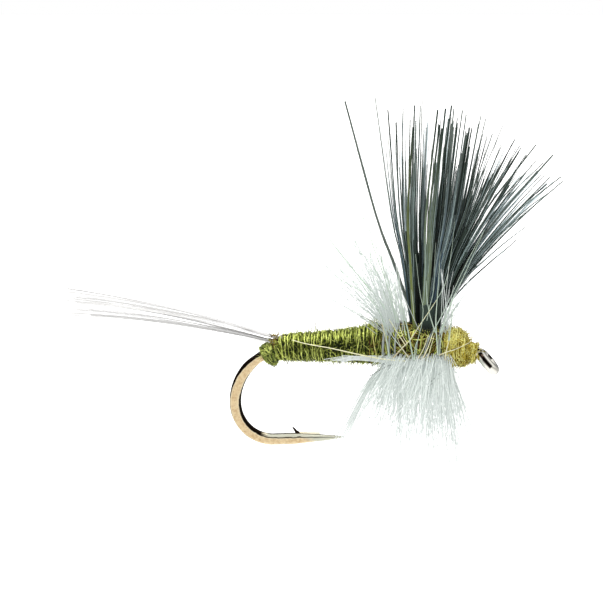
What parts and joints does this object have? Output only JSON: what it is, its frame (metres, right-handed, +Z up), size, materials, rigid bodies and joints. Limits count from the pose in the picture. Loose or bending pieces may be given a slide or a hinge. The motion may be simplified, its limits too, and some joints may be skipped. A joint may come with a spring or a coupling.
{
  "type": "dry fly",
  "caption": "Thorax-style dry fly on a down-eye hook: fibre tail, wound olive body, upright fan of slate wing fibres, pale wound hackle and a golden thread head.",
  "frame": {"origin": "the centre of the hook's eye", "axes": "+X out of the front of the fly, along the shank; +Z up, towards the wing; the hook lies in the XZ plane; +Y is the fly's left"},
  "size_m": [0.0206, 0.0125, 0.0154],
  "materials": {
    "hook_bronze": "bronzed, semi-gloss",
    "olive_thread": "fine waxed thread",
    "gold_thread": "fuzzy golden yarn",
    "olive_dubbing": "wound olive dubbing",
    "thorax_dubbing": "loose olive and gold dubbing",
    "pale_barb": "translucent pale grey feather barbs",
    "tail_barb": "translucent pale feather fibres",
    "slate_fibre": "slate feather fibres"
  },
  "bodies": {
    "root": {"abdomen_dubbing": "olive_dubbing", "hackle_feather": "pale_barb", "head_wraps": "gold_thread", "hook": "hook_bronze", "tail_fibre_1": "tail_barb", "tail_fibre_2": "tail_barb", "tail_fibre_3": "tail_barb", "tail_fibre_4": "tail_barb", "tail_fibre_5": "tail_barb", "tail_fibre_6": "tail_barb", "tail_fibre_7": "tail_barb", "tail_fibre_8": "tail_barb", "tail_prop_dubbing": "olive_dubbing", "tail_wraps": "olive_thread", "thorax_dubbing": "thorax_dubbing", "thread_base": "olive_thread", "whip_finish": "gold_thread", "wing_fibre_01": "slate_fibre", "wing_fibre_02": "slate_fibre", "wing_fibre_03": "slate_fibre", "wing_fibre_04": "slate_fibre", "wing_fibre_05": "slate_fibre", "wing_fibre_06": "slate_fibre", "wing_fibre_07": "slate_fibre", "wing_fibre_08": "slate_fibre", "wing_fibre_09": "slate_fibre", "wing_fibre_10": "slate_fibre", "wing_fibre_11": "slate_fibre", "wing_fibre_12": "slate_fibre", "wing_fibre_13": "slate_fibre", "wing_fibre_14": "slate_fibre", "wing_fibre_15": "slate_fibre", "wing_fibre_16": "slate_fibre", "wing_fibre_17": "slate_fibre", "wing_fibre_18": "slate_fibre", "wing_fibre_19": "slate_fibre", "wing_fibre_20": "slate_fibre", "wing_fibre_21": "slate_fibre", "wing_fibre_22": "slate_fibre", "wing_fibre_23": "slate_fibre", "wing_fibre_24": "slate_fibre", "wing_fibre_25": "slate_fibre", "wing_post_wraps": "gold_thread", "wing_tie_wraps": "olive_thread"}
  },
  "joints": []
}
